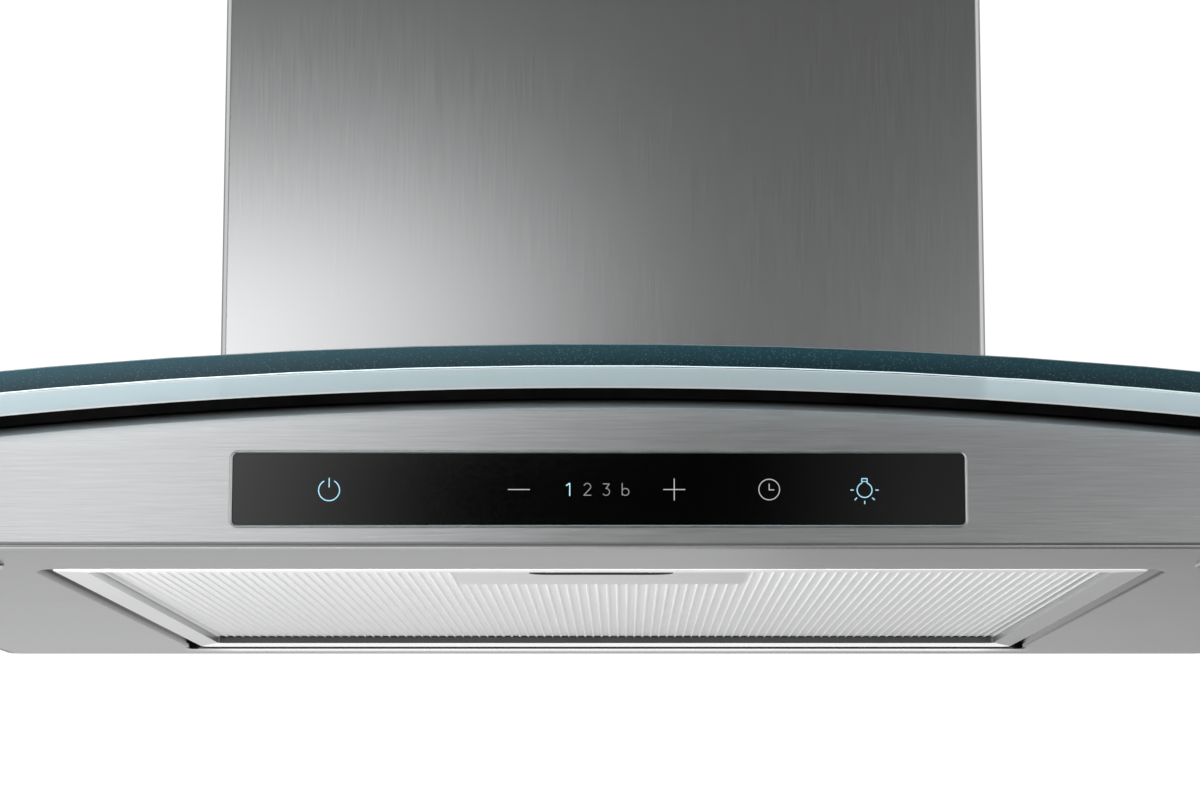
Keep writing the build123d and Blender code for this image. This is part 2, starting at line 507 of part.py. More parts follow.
seal = box(-SCROLL_HALF, SCROLL_HALF, DUCT_Y0, DUCT_Y1, SCROLL_TOP + 0.03, TOWER_TOP - tt - 0.03)
seal -= box(-SCROLL_HALF + 8, SCROLL_HALF - 8, DUCT_Y0 + 8, DUCT_Y1 - 8, 320, 340)
for x, y in COL_SCR:
    seal -= cyl_z(2.2, 320, 340, x, y)
put("outlet_seal", seal)
put("blower_grommets", *[cyl_z(6.0, SCROLL_TOP + 0.03, TOWER_TOP - tt - 0.03, x, y) - cyl_z(2.2, 320, 340, x, y)
                         for x, y in GROM])
blower_screws += [cyl_z(2.0, 321.0, TOWER_TOP + 0.5, x, y) + cyl_z(4.0, TOWER_TOP + 0.02, TOWER_TOP + 2.6, x, y)
                  + cyl_z(3.6, 321.0, SCROLL_TOP - 2.05, x, y) for x, y in GROM]

# ------------------------------------------------------------- outlet and dampers
FLANGE_T = 2.0
base = cyl_z(86.0, TOWER_TOP + 0.02, TOWER_TOP + FLANGE_T, 0, COLLAR_Y) - cyl_z(73.84, 320, 400, 0, COLLAR_Y)
for x, y in COL_SCR:
    base -= cyl_z(1.8, 320, 340, x, y)
put("collar_flange", base)
col = cyl_z(COLLAR_R, TOWER_TOP + FLANGE_T + 0.02, COLLAR_TOP, 0, COLLAR_Y)
col = fillet([e for e in col.edges() if abs(e.center().Z - COLLAR_TOP) < 0.05], 0.8)
col += cyl_z(73.8, TOWER_TOP + 0.02, TOWER_TOP + FLANGE_T + 0.5, 0, COLLAR_Y)
col -= cyl_z(72.5, 320, 400, 0, COLLAR_Y)
col += cyl_z(72.6, FLAP_Z - 3.6, FLAP_Z - 1.2, 0, COLLAR_Y) - cyl_z(69.5, 320, 400, 0, COLLAR_Y)
for x in (-FLAP_X, FLAP_X):
    col -= cyl_y(FLAP_PIN_R, COLLAR_Y - 80, COLLAR_Y + 80, x, FLAP_Z)
put("outlet_collar", col)
put("flap_pins", *[cyl_y(FLAP_PIN_R, COLLAR_Y - 74.0, COLLAR_Y + 74.0, x, FLAP_Z) for x in (-FLAP_X, FLAP_X)])
for tag, sx in (("left", -1), ("right", 1)):
    f = cyl_z(71.6, FLAP_Z - 0.7, FLAP_Z + 0.7, 0, COLLAR_Y) & box(sx * 5.2, sx * 80, COLLAR_Y - 80, COLLAR_Y + 80, 300, 400)
    f += cyl_y(2.6, COLLAR_Y - 64, COLLAR_Y + 64, sx * FLAP_X, FLAP_Z)
    f -= cyl_y(FLAP_PIN_R + 0.06, COLLAR_Y - 80, COLLAR_Y + 80, sx * FLAP_X, FLAP_Z)
    put(f"damper_flap_{tag}", f)
blower_screws += [cyl_z(1.7, 328.2, TOWER_TOP + 2.5, x, y) + cyl_z(2.8, TOWER_TOP + 2.02, TOWER_TOP + 3.8, x, y)
                  for x, y in COL_SCR]
put("blower_screws", *blower_screws)

# ----------------------------------------------------------------- electronics
eb = box(-60, 60, -58, -tt - 0.05, 262, 323) - box(-58, 58, -60, -tt - 2.05, 264, 321)
eb -= cyl_z(5.0, 318, 326, 40, -25)
put("electronics_box", eb)
put("electronics_lid", box(-60, 60, -60.2, -58.05, 262, 323) + box(-57.8, 57.8, -58.1, -56.4, 264.2, 320.8))
put("power_board", box(-55, 55, -8.0, -6.4, 266, 319) + box(-48, -18, -34, -7.9, 272, 302)
    + box(-5, 15, -24, -7.9, 272, 290) + box(22, 50, -20, -7.9, 300, 314) + cyl_y(5.5, -30, -7.9, 35, 282))
gl = cyl_z(10.0, TOWER_TOP + 0.02, TOWER_TOP + 3.0, *GLAND) + cyl_z(7.6, TOWER_TOP + 2.0, 346.0, *GLAND)
gl = fillet([e for e in gl.edges() if abs(e.center().Z - 346.0) < 0.05], 2.0)
gl += cyl_z(5.9, 326.0, TOWER_TOP + 1.0, *GLAND)
gl += cyl_z(8.5, 326.0, 329.9, *GLAND)
gl -= cyl_z(3.75, 300, 360, *GLAND)
put("cable_gland", gl)

# -------------------------------------------------------------------- chimney


def u_sheet(hx, y0, y1, t, z0, z1, r, ret):
    s = rbox(-hx, hx, y0, y1, z0, z1, r) - rbox(-hx + t, hx - t, y0 + t, y1 - t, z0 - 1, z1 + 1, max(r - t, 0.3))
    return s - box(-hx + ret, hx - ret, y1 - t - 3, y1 + 3, z0 - 1, z1 + 1)


low = u_sheet(CH_HALF, CH_FRONT, 0.0, CH_T, 30.0, CH_TOP, 2.2, 13.0)
low -= under_arch(R_ARCH + T_GLASS + 0.5, 200, -300, 20, 0)
for sx in (-1, 1):
    low -= cyl_x(2.1, sx * 120, sx * 135, -120, 64)
put("lower_chimney", low)
body_screws += [cyl_x(1.9, sx * 121.5, sx * 129.5, -120, 64)
                + cyl_x(4.0, sx * (CH_HALF + 0.02), sx * (CH_HALF + 2.2), -120, 64) for sx in (-1, 1)]
put("body_screws", *body_screws)

upp = u_sheet(UP_HALF, UP_FRONT, UP_BACK, UP_T, UP_Z0, UP_Z1, 2.0, 17.0)
upp -= box(-UP_HALF + UP_T, UP_HALF - UP_T, UP_BACK - UP_T - 3, 5, 590, UP_Z1 + 1)
for sx in (-1, 1):
    for col_y in (-205.0, -160.0, -115.0, -70.0):
        for row in range(4):
            z = 560.0 + row * 14.0
            slot = Pos(sx * UP_HALF, col_y, z) * Rot(0, 90, 0) * Rot(0, 0, 90) * extrude(
                SlotOverall(34.0, 4.0), amount=6, both=True)
            upp -= slot
    upp -= cyl_x(2.1, sx * 120, sx * 135, -16, 610)
put("upper_chimney", upp)
cb = box(-125.5, 125.5, -1.2, 0, 598, 622)
for sx in (-1, 1):
    cb += box(sx * 124.3, sx * 125.5, -30, 0, 598, 622)
    cb -= cyl_x(2.05, sx * 120, sx * 130, -16, 610)
    cb -= cyl_y(3.0, -4, 2, sx * 80, 610)
put("chimney_bracket", cb)
put("upper_chimney_screws", *[cyl_x(1.9, sx * 119.0, sx * 127.0, -16, 610)
                              + cyl_x(4.0, sx * (UP_HALF + 0.02), sx * (UP_HALF + 2.2), -16, 610) for sx in (-1, 1)])
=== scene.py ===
import bpy
import bmesh
import math
from mathutils import Matrix, Vector


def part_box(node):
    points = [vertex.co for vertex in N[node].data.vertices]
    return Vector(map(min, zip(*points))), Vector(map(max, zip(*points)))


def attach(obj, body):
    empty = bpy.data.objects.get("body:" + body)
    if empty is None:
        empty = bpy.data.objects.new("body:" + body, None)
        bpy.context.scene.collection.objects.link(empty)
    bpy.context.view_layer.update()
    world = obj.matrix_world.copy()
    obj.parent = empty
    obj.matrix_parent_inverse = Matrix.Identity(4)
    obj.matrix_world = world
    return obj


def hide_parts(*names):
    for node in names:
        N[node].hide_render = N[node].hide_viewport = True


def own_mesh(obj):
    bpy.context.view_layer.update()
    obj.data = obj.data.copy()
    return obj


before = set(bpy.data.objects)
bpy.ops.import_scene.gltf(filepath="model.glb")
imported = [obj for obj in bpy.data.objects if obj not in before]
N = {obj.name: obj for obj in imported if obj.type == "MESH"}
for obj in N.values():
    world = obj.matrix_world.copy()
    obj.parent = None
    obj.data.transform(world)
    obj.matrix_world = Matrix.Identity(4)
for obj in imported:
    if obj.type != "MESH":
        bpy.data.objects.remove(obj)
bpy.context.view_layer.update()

# The row's origin is 190 mm above the underside of the steel body.
Z0 = 0.190


def mm(x, y, z):
    """Point given in mm with z counted from the underside of the body."""
    return Vector((x / 1000.0, y / 1000.0, z / 1000.0 - Z0))


# ------------------------------------------------------------------ node helpers
class Mat:
    """A procedural material with one Principled shader and object coordinates."""

    def __init__(self, name):
        self.m = bpy.data.materials.new(name)
        self.m.use_nodes = True
        self.t = self.m.node_tree
        self.t.nodes.clear()
        self.out = self.t.nodes.new("ShaderNodeOutputMaterial")
        self.p = self.t.nodes.new("ShaderNodeBsdfPrincipled")
        self.t.links.new(self.p.outputs[0], self.out.inputs[0])
        self.co = self.t.nodes.new("ShaderNodeTexCoord").outputs["Object"]

    def set(self, **kw):
        for k, v in kw.items():
            self.p.inputs[k.replace("_", " ")].default_value = v
        return self

    def link(self, a, b):
        self.t.links.new(a, b)

    def map(self, scale, loc=(0, 0, 0), rot=(0, 0, 0)):
        n = self.t.nodes.new("ShaderNodeMapping")
        n.inputs["Scale"].default_value = scale
        n.inputs["Location"].default_value = loc
        n.inputs["Rotation"].default_value = rot
        self.link(self.co, n.inputs["Vector"])
        return n.outputs[0]

    def noise(self, vec, scale=1.0, detail=2.0, rough=0.5, dist=0.0):
        n = self.t.nodes.new("ShaderNodeTexNoise")
        n.inputs["Scale"].default_value = scale
        n.inputs["Detail"].default_value = detail
        n.inputs["Roughness"].default_value = rough
        n.inputs["Distortion"].default_value = dist
        self.link(vec, n.inputs["Vector"])
        return n.outputs["Fac"]

    def voronoi(self, vec, scale=1.0, feature="F1", out="Distance"):
        n = self.t.nodes.new("ShaderNodeTexVoronoi")
        n.feature = feature
        n.inputs["Scale"].default_value = scale
        self.link(vec, n.inputs["Vector"])
        return n.outputs[out]

    def ramp(self, fac, stops, interp="LINEAR"):
        n = self.t.nodes.new("ShaderNodeValToRGB")
        n.color_ramp.interpolation = interp
        e = n.color_ramp.elements
        while len(e) < len(stops):
            e.new(0.5)
        for el, (pos, col) in zip(e, stops):
            el.position = pos
            el.color = (*col, 1.0) if not isinstance(col, (int, float)) else (col, col, col, 1.0)
        self.link(fac, n.inputs[0])
        return n.outputs[0]

    def rng(self, fac, a, b, c, d, smooth=False):
        n = self.t.nodes.new("ShaderNodeMapRange")
        if smooth:
            n.interpolation_type = "SMOOTHSTEP"
        for i, v in enumerate((a, b, c, d)):
            n.inputs[1 + i].default_value = v
        self.link(fac, n.inputs[0])
        return n.outputs[0]

    def math(self, op, a, b=None):
        n = self.t.nodes.new("ShaderNodeMath")
        n.operation = op
        for i, v in enumerate((a, b)):
            if v is None:
                continue
            if isinstance(v, (int, float)):
                n.inputs[i].default_value = v
            else:
                self.link(v, n.inputs[i])
        return n.outputs[0]

    def mix(self, fac, a, b, kind="MIX"):
        n = self.t.nodes.new("ShaderNodeMix")
        n.data_type = "RGBA"
        n.blend_type = kind
        for sock, v in ((n.inputs[0], fac), (n.inputs[6], a), (n.inputs[7], b)):
            if isinstance(v, (int, float)):
                sock.default_value = v if sock.type == "VALUE" else (v, v, v, 1)
            elif isinstance(v, tuple):
                sock.default_value = (*v, 1.0)
            else:
                self.link(v, sock)
        return n.outputs[2]

    def xyz(self, vec=None):
        n = self.t.nodes.new("ShaderNodeSeparateXYZ")
        self.link(vec if vec is not None else self.co, n.inputs[0])
        return n.outputs

    def bump(self, height, strength=0.2, dist=0.0002):
        n = self.t.nodes.new("ShaderNodeBump")
        n.inputs["Strength"].default_value = strength
        n.inputs["Distance"].default_value = dist
        self.link(height, n.inputs["Height"])
        self.link(n.outputs[0], self.p.inputs["Normal"])
        return n.outputs[0]

    def color(self, sock):
        self.link(sock, self.p.inputs["Base Color"])

    def rough(self, sock):
        self.link(sock, self.p.inputs["Roughness"])


ARCH_ZC = (44.2 - 1704.0) / 1000.0 - Z0      # axis of the canopy's arch
ARCH_R = 1.704                               # its lower surface
ARCH_TOP = 1.701                             # top edge of the steel body under the seal


def arch_radius(m):
    """Distance from the axis of the canopy's arch."""
    x, y, z = m.xyz()
    zz = m.math("SUBTRACT", z, ARCH_ZC)
    return m.math("SQRT", m.math("ADD", m.math("MULTIPLY", x, x), m.math("MULTIPLY", zz, zz)))


def brushed(name, base, along, rough=0.24, fine=3000.0, streak=0.05, bump=0.05, blotch=0.02, shade=None,
            parts=(0.5, 0.32, 0.18), spread=0.03, polish_and_highlight=None):
    """Brushed stainless steel; along is the grain direction, 'X', 'Y' or 'Z'."""
    m = Mat(name)
    m.set(Metallic=1.0)

    def vec(short, ln, shift=0.0):
        s = [short] * 3
        s["XYZ".index(along)] = ln
        return m.map(tuple(s), loc=(shift, shift * 0.7, shift * 1.3))

    a = m.noise(vec(fine, 55.0), 1.0, 2.0, 0.6)
    b = m.noise(vec(fine * 0.42, 24.0, 3.1), 1.0, 2.0, 0.6)
    c = m.noise(vec(fine * 0.10, 7.0, 7.7), 1.0, 2.0, 0.5)
    s = m.noise(vec(fine * 0.6, 130.0, 11.3), 1.0, 1.0, 0.4)
    scratch = m.rng(s, 0.68, 0.80, 0.0, 1.0)
    grain = m.math("ADD", m.math("MULTIPLY", a, parts[0]), m.math("ADD", m.math("MULTIPLY", b, parts[1]), m.math("MULTIPLY", c, parts[2])))
    big = m.noise(m.map((6, 6, 6)), 1.0, 2.0, 0.5)
    v = m.rng(grain, 0.32, 0.68, 1.0 - streak, 1.0 + streak)
    v = m.math("ADD", v, m.math("MULTIPLY", scratch, streak))
    v = m.math("MULTIPLY", v, m.rng(big, 0.3, 0.7, 1.0 - blotch, 1.0 + blotch))
    lo = tuple(x * 0.7 for x in base)
    hi = tuple(min(1.0, x * 1.3) for x in base)
    col = m.mix(m.rng(v, 0.7, 1.3, 0.0, 1.0), lo, hi)
    r = m.rng(grain, 0.3, 0.7, rough - spread, rough + spread)
    # painted shade: the colour is multiplied by the shade mask, and roughness rises where it is dark
    if shade is not None:
        k = shade(m)
        col = m.mix(1.0, col, k, "MULTIPLY")
        r = m.math("ADD", r, m.rng(k, 0.0, 0.8, 0.6, 0.0))
    # painted highlight: the colour goes to near white where the mask is 1, and roughness falls there
    if polish_and_highlight is not None:
        k = polish_and_highlight(m)
        col = m.mix(k, col, (0.96, 0.96, 0.96))
        r = m.math("SUBTRACT", r, m.math("MULTIPLY", k, rough - 0.09))
    m.color(col)
    m.rough(r)
    m.bump(grain, bump, 0.00005)
    return m


def plastic(name, base, rough=0.45, grain=2600.0, bump=0.12, var=0.10, spec=0.5):
    """Moulded plastic with a fine spark-eroded texture."""
    m = Mat(name)
    m.set(Specular_IOR_Level=spec)
    g = m.noise(m.map((grain,) * 3), 1.0, 3.0, 0.6)
    big = m.noise(m.map((40,) * 3), 1.0, 3.0, 0.6)
    lo = tuple(c * (1 - var) for c in base)
    hi = tuple(min(1, c * (1 + var) + 0.004) for c in base)
    m.color(m.mix(m.rng(big, 0.3, 0.7, 0, 1), lo, hi))
    m.rough(m.rng(g, 0.3, 0.7, rough - 0.07, rough + 0.09))
    m.bump(g, bump, 0.0001)
    return m


def rubber(name):
    m = Mat(name)
    m.set(Specular_IOR_Level=0.03)
    g = m.noise(m.map((3500,) * 3), 1.0, 3.0, 0.6)
    d = m.noise(m.map((90,) * 3), 1.0, 3.0, 0.6)
    m.color(m.mix(m.rng(d, 0.3, 0.75, 0, 1), (0.0008, 0.0008, 0.0008), (0.0025, 0.0025, 0.0025)))
    m.rough(m.rng(g, 0.3, 0.7, 0.62, 0.85))
    m.bump(g, 0.25, 0.0001)
    return m


def galvanised(name):
    """Zinc-coated sheet with spangle."""
    m = Mat(name)
    m.set(Metallic=1.0)
    cells = m.voronoi(m.map((95, 95, 95)), 1.0, "F1", "Color")
    g = m.t.nodes.new("ShaderNodeRGBToBW")
    m.link(cells, g.inputs[0])
    fine = m.noise(m.map((1400,) * 3), 1.0, 3.0, 0.6)
    v = m.math("ADD", m.math("MULTIPLY", g.outputs[0], 0.7), m.math("MULTIPLY", fine, 0.3))
    m.color(m.ramp(v, [(0.15, (0.40, 0.415, 0.425)), (0.85, (0.60, 0.615, 0.62))]))
    m.rough(m.rng(v, 0.2, 0.8, 0.36, 0.52))
    m.bump(fine, 0.08, 0.0001)
    return m


def bright_metal(name, base, rough=0.22, turned=1200.0, var=0.08):
    """Zinc-plated or bright steel with fine machining noise."""
    m = Mat(name)
    m.set(Metallic=1.0)
    a = m.noise(m.map((turned,) * 3), 1.0, 3.0, 0.6)
    b = m.noise(m.map((160,) * 3), 1.0, 2.0, 0.5)
    v = m.math("ADD", m.math("MULTIPLY", a, 0.5), m.math("MULTIPLY", b, 0.5))
    lo = tuple(c * (1 - var) for c in base)
    hi = tuple(min(1, c * (1 + var)) for c in base)
    m.color(m.mix(m.rng(v, 0.3, 0.7, 0, 1), lo, hi))
    m.rough(m.rng(v, 0.3, 0.7, rough - 0.05, rough + 0.08))
    m.bump(a, 0.05, 0.00005)
    return m


# --------------------------------------------------------------------- materials
MAT = {}
def painted_seal_shadow(m):
    """Painted shadow: the rolled top of the fascia is darkened where it turns in under the seal."""
    s = m.rng(arch_radius(m), ARCH_TOP - 0.003, ARCH_TOP, 0.0, 1.0)
    k = m.ramp(s, [(0.0, 0.714), (0.06, 0.49), (0.12, 0.40), (0.22, 0.31), (0.32, 0.24), (0.42, 0.18), (0.52, 0.12), (0.62, 0.07), (0.75, 0.036), (0.88, 0.011)])
    return m.math("MULTIPLY", k, 1.4)


def painted_opening_shade(m):
    """Painted shade inside the rolled edge of the filter opening."""
    x, y, z = m.xyz()
    ax = m.math("ABSOLUTE", x)
    inside = m.math("MULTIPLY", m.rng(ax, 0.1680, 0.1676, 0.0, 1.0),
                    m.math("MULTIPLY", m.rng(y, -0.3870, -0.3866, 0.0, 1.0), m.rng(y, -0.0292, -0.0298, 0.0, 1.0)))
    rear = m.rng(y, -0.0420, -0.0400, 0.0, 1.0)
    at = m.rng(rear, 0.0, 1.0, 0.0019, -0.0004)
    deep = m.math("DIVIDE", m.math("SUBTRACT", m.math("ADD", z, Z0), at), 0.0006)
    n = m.t.nodes.new("ShaderNodeClamp")
    m.link(deep, n.inputs[0])
    return m.math("SUBTRACT", 1.0, m.math("MULTIPLY", m.math("MULTIPLY", n.outputs[0], inside), 0.992))


def rear_strip_highlight(m):
    """Strip of the underside behind the filter: smoother, and a painted highlight in near-white colour across its
    middle.
    """
    x, y, z = m.xyz()
    across = m.rng(m.math("ABSOLUTE", x), 0.172, 0.150, 0.0, 1.0)
    return m.math("MULTIPLY", across, m.math("MULTIPLY", m.rng(y, -0.0295, -0.0291, 0.0, 1.0), m.rng(y, -0.012, -0.022, 0.0, 1.0)))


MAT["chimney"] = brushed("chimney_brushed_steel", (0.50, 0.505, 0.51), "Z", rough=0.17, fine=1900.0, streak=0.038, bump=0.01,
                         parts=(0.78, 0.20, 0.02), spread=0.008)
MAT["fascia"] = brushed("fascia_brushed_steel", (0.45, 0.455, 0.46), "X", rough=0.22, fine=2700.0, streak=0.105, bump=0.01, shade=painted_seal_shadow,
                        parts=(0.66, 0.30, 0.04), spread=0.010)
MAT["under"] = brushed("underside_satin_steel", (0.345, 0.35, 0.354), "X", rough=0.19, streak=0.015, bump=0.01, blotch=0.01, shade=painted_opening_shade, polish_and_highlight=rear_strip_highlight)
MAT["shell"] = brushed("body_side_steel", (0.58, 0.585, 0.59), "Y")
# painted shade: near-black material for the collar walls inside the gap round the filter
MAT["collar_dark"] = plastic("opening_collar_dark_paint", (0.05, 0.05, 0.052), rough=0.5)
MAT["galv"] = galvanised("galvanised_sheet")
MAT["rubber"] = rubber("seal_rubber_black")
MAT["black"] = plastic("moulded_black_plastic", (0.016, 0.016, 0.018), rough=0.42)
MAT["grey"] = plastic("moulded_grey_plastic", (0.36, 0.37, 0.38), rough=0.48)
MAT["scroll"] = plastic("blower_plastic", (0.10, 0.105, 0.115), rough=0.46)
MAT["white"] = plastic("capacitor_plastic", (0.78, 0.78, 0.75), rough=0.38)
MAT["zinc"] = bright_metal("screw_zinc", (0.66, 0.66, 0.65), 0.28)
MAT["spring"] = bright_metal("bright_steel", (0.60, 0.60, 0.60), 0.20)
MAT["bezel"] = bright_metal("bezel_polished_steel", (0.45, 0.455, 0.46), 0.16, 1800.0, 0.05)
MAT["frame_al"] = brushed("filter_frame_aluminium", (0.80, 0.805, 0.81), "X", rough=0.30, streak=0.02, bump=0.02)
MAT["frame_al"].set(Metallic=0.7)
# painted highlight: a near-white, smoother copy of the frame's aluminium on its rear border
MAT["frame_bright"] = brushed("filter_frame_painted_highlight", (0.97, 0.97, 0.97), "X", rough=0.09, streak=0.02, bump=0.004, spread=0.02)
# painted highlight: a near-white copy of the frame's aluminium on its front border
MAT["frame_front"] = brushed("filter_frame_front_edge", (0.97, 0.97, 0.97), "X", rough=0.32, streak=0.02, bump=0.02)
MAT["frame_front"].set(Metallic=0.12)
MAT["frame_wall"] = brushed("filter_frame_inner_wall", (0.60, 0.605, 0.61), "X", rough=0.34, streak=0.03, bump=0.03)
# painted shade: near-black material for walls in the gap round the filter and in the handle's slot
MAT["frame_gap"] = plastic("filter_frame_shadow_wall", (0.030, 0.030, 0.032), rough=0.55)
MAT["lamp_rim"] = bright_metal("lamp_rim_aluminium", (0.72, 0.72, 0.73), 0.24)
MAT["lamp_cast"] = bright_metal("lamp_cast_aluminium", (0.50, 0.50, 0.51), 0.45, 600.0, 0.14)


def motor_paint():
    m = Mat("motor_baked_paint")
    m.set(Specular_IOR_Level=0.5)
    z = m.xyz()[0]
    lam = m.t.nodes.new("ShaderNodeTexWave")
    lam.wave_type = "BANDS"
    lam.bands_direction = "X"
    lam.inputs["Scale"].default_value = 320.0
    m.link(m.co, lam.inputs["Vector"])
    band = m.math("MULTIPLY", m.rng(z, -0.062, -0.060, 0, 1), m.rng(z, -0.034, -0.032, 1, 0))
    n = m.noise(m.map((900,) * 3), 1.0, 3.0, 0.6)
    m.color(m.mix(m.math("MULTIPLY", band, lam.outputs["Fac"]), (0.035, 0.036, 0.040), (0.19, 0.19, 0.20)))
    m.rough(m.rng(n, 0.3, 0.7, 0.34, 0.52))
    m.bump(m.math("ADD", m.math("MULTIPLY", band, lam.outputs["Fac"]), m.math("MULTIPLY", n, 0.2)), 0.3, 0.0003)
    return m


MAT["motor"] = motor_paint()


def board(name, base, copper):
    m = Mat(name)
    m.set(Specular_IOR_Level=0.5)
    brick = m.t.nodes.new("ShaderNodeTexBrick")
    brick.inputs["Scale"].default_value = 160.0
    brick.inputs["Mortar Size"].default_value = 0.035
    brick.inputs["Color1"].default_value = (*base, 1)
    brick.inputs["Color2"].default_value = (*[c * 0.8 for c in base], 1)
    brick.inputs["Mortar"].default_value = (*copper, 1)
    m.link(m.map((1, 1, 1), rot=(math.radians(90), 0, 0)), brick.inputs["Vector"])
    m.color(brick.outputs["Color"])
    n = m.noise(m.map((700,) * 3), 1.0, 2.0, 0.5)
    m.rough(m.rng(n, 0.3, 0.7, 0.28, 0.42))
    m.bump(brick.outputs["Fac"], 0.2, 0.0001)
    return m


MAT["pcb"] = board("circuit_board_green", (0.02, 0.16, 0.06), (0.10, 0.30, 0.12))
MAT["pcb_white"] = board("circuit_board_white", (0.80, 0.80, 0.78), (0.62, 0.62, 0.58))


def through_thickness(m):
    """0 on the canopy's lower surface, 1 on its upper surface."""
    return m.rng(arch_radius(m), ARCH_R, ARCH_R + 0.006, 0.0, 1.0)


def canopy_glass():
    """Clear float glass, faintly green."""
    m = Mat("canopy_glass_clear")
    m.set(IOR=1.5, Transmission_Weight=1.0)
    n = m.noise(m.map((9, 9, 9)), 1.0, 2.0, 0.5)
    f = m.noise(m.map((240, 240, 240)), 1.0, 2.0, 0.5)
    m.color(m.mix(m.rng(f, 0.3, 0.7, 0.0, 1.0), (0.89, 0.95, 0.955), (0.91, 0.96, 0.965)))
    m.rough(m.rng(n, 0.3, 0.7, 0.0, 0.010))
    return m


def painted_reflection_band():
    """Light-blue translucent skin under the canopy's front overhang: it lets most light through, and its light-blue
    colour is painted reflection of the fascia below.
    """
    m = Mat("canopy_band_painted_reflection")
    m.set(IOR=1.04, Transmission_Weight=0.67, Specular_IOR_Level=0.1)
    y = m.xyz()[1]
    haze = m.noise(m.map((900, 300, 900)), 1.0, 3.0, 0.6)
    big = m.noise(m.map((14, 60, 14)), 1.0, 2.0, 0.5)
    v = m.math("ADD", m.math("MULTIPLY", haze, 0.4), m.math("MULTIPLY", big, 0.6))
    blue = m.mix(m.rng(v, 0.3, 0.7, 0.0, 1.0), (0.665, 0.785, 0.82), (0.705, 0.825, 0.86))
    # painted highlight lines: near white along the skin's front and rear ends
    edge = m.math("ADD", m.rng(y, -0.4846, -0.4852, 0.0, 1.0), m.rng(y, -0.4530, -0.4522, 0.0, 1.0))
    m.color(m.mix(m.math("MULTIPLY", edge, 0.9), blue, (1.0, 1.0, 1.0)))
    m.rough(m.rng(haze, 0.3, 0.7, 0.05, 0.11))
    m.bump(haze, 0.05, 0.00005)
    return m


def canopy_edge(name, top, low, rough, spark_c):
    """Ground edge of the canopy: dark teal with fine sparkle, lighter towards the top."""
    m = Mat(name)
    m.set(Specular_IOR_Level=0.31)
    sp = m.voronoi(m.map((1500,) * 3), 1.0)
    spark = m.rng(sp, 0.08, 0.26, 1.0, 0.0)
    n = m.noise(m.map((1100,) * 3), 1.0, 3.0, 0.7)
    h = m.rng(through_thickness(m), 0.0, 0.95, 0.0, 1.0)
    t = m.math("MULTIPLY", h, m.rng(n, 0.25, 0.75, 0.75, 1.25))
    base = m.mix(t, low, top)
    m.color(m.mix(m.math("MULTIPLY", spark, 0.42), base, spark_c))
    m.rough(m.rng(n, 0.3, 0.7, rough - 0.05, rough + 0.06))
    m.bump(m.math("ADD", n, spark), 0.12, 0.0001)
    return m


MAT["glass"] = canopy_glass()
MAT["satin"] = painted_reflection_band()
MAT["edge"] = canopy_edge("canopy_glass_ground_edge", (0.012, 0.047, 0.062), (0.003, 0.014, 0.020), 0.19, (0.15, 0.23, 0.26))
# painted highlight: the arris gets a pale light-blue colour
MAT["arris_highlight"] = canopy_edge("canopy_glass_arris_painted_highlight", (0.45, 0.60, 0.64), (0.55, 0.72, 0.76), 0.20, (0.7, 0.8, 0.82))


def black_glass():
    m = Mat("control_black_glass")
    m.set(Specular_IOR_Level=0.46)
    n = m.noise(m.map((25, 25, 25)), 1.0, 2.0, 0.5)
    f = m.noise(m.map((1200,) * 3), 1.0, 2.0, 0.5)
    m.color(m.mix(n, (0.0004, 0.0004, 0.0005), (0.0010, 0.0010, 0.0011)))
    m.rough(m.rng(f, 0.3, 0.7, 0.05, 0.07))
    return m


MAT["control"] = black_glass()
MAT["control_rim"] = plastic("control_glass_black_rim", (0.0012, 0.0012, 0.0013), rough=0.6, spec=0.02)


def icon(name, col):
    m = Mat(name)
    n = m.noise(m.map((1500,) * 3), 1.0, 2.0, 0.5)
    lo = tuple(c * 0.9 for c in col)
    c = m.mix(m.rng(n, 0.3, 0.7, 0, 1), lo, col)
    m.color(m.mix(0.7, c, (0.0, 0.0, 0.0)))
    # painted glow: the printed symbols are lit by emission of their own colour
    m.link(c, m.p.inputs["Emission Color"])
    m.set(Emission_Strength=1.0, Roughness=0.4, Specular_IOR_Level=0.2)
    return m


MAT["icon_blue"] = icon("icon_light_blue", (0.34, 0.64, 0.80))
MAT["icon_lit"] = icon("icon_lit_blue", (0.46, 0.82, 0.92))
MAT["icon_grey"] = icon("icon_grey", (0.40, 0.41, 0.42))
MAT["icon_dim"] = icon("icon_dim", (0.27, 0.275, 0.28))


def lens():
    m = Mat("lamp_frosted_lens")
    m.set(Transmission_Weight=0.35, IOR=1.49, Specular_IOR_Level=0.5)
    n = m.noise(m.map((2200,) * 3), 1.0, 3.0, 0.6)
    big = m.noise(m.map((60,) * 3), 1.0, 2.0, 0.5)
    m.color(m.mix(big, (0.80, 0.82, 0.82), (0.90, 0.91, 0.90)))
    m.rough(m.rng(n, 0.3, 0.7, 0.30, 0.50))
    m.bump(n, 0.2, 0.0001)
    return m


MAT["lens"] = lens()


